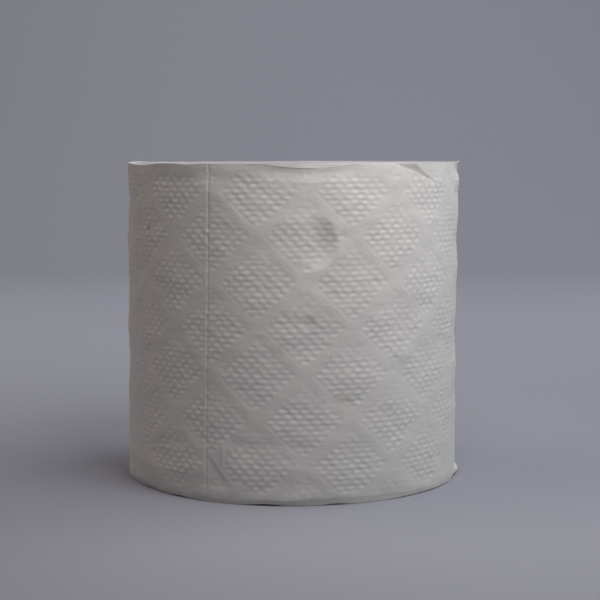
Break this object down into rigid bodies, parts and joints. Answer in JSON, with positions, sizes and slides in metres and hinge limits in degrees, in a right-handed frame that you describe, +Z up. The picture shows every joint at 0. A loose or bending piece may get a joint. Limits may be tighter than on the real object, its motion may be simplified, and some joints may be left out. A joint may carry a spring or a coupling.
{
  "type": "toilet paper roll",
  "caption": "Upright roll of white tissue wound on a cardboard core, embossed with diamonds of fine dots, with perforated sheets, a thumb dent and soft crushed edges.",
  "frame": {"origin": "centre of the lower end, on the roll's axis", "axes": "+Z up along the roll's axis, and the side that the picture shows faces -Y"},
  "size_m": [0.1047, 0.105, 0.1],
  "materials": {
    "core_board": "matte grey brown board with a wound seam",
    "tissue": "soft matte tissue with embossed dots"
  },
  "bodies": {
    "root": {"cardboard_core": "core_board", "paper_roll": "tissue"}
  },
  "joints": []
}
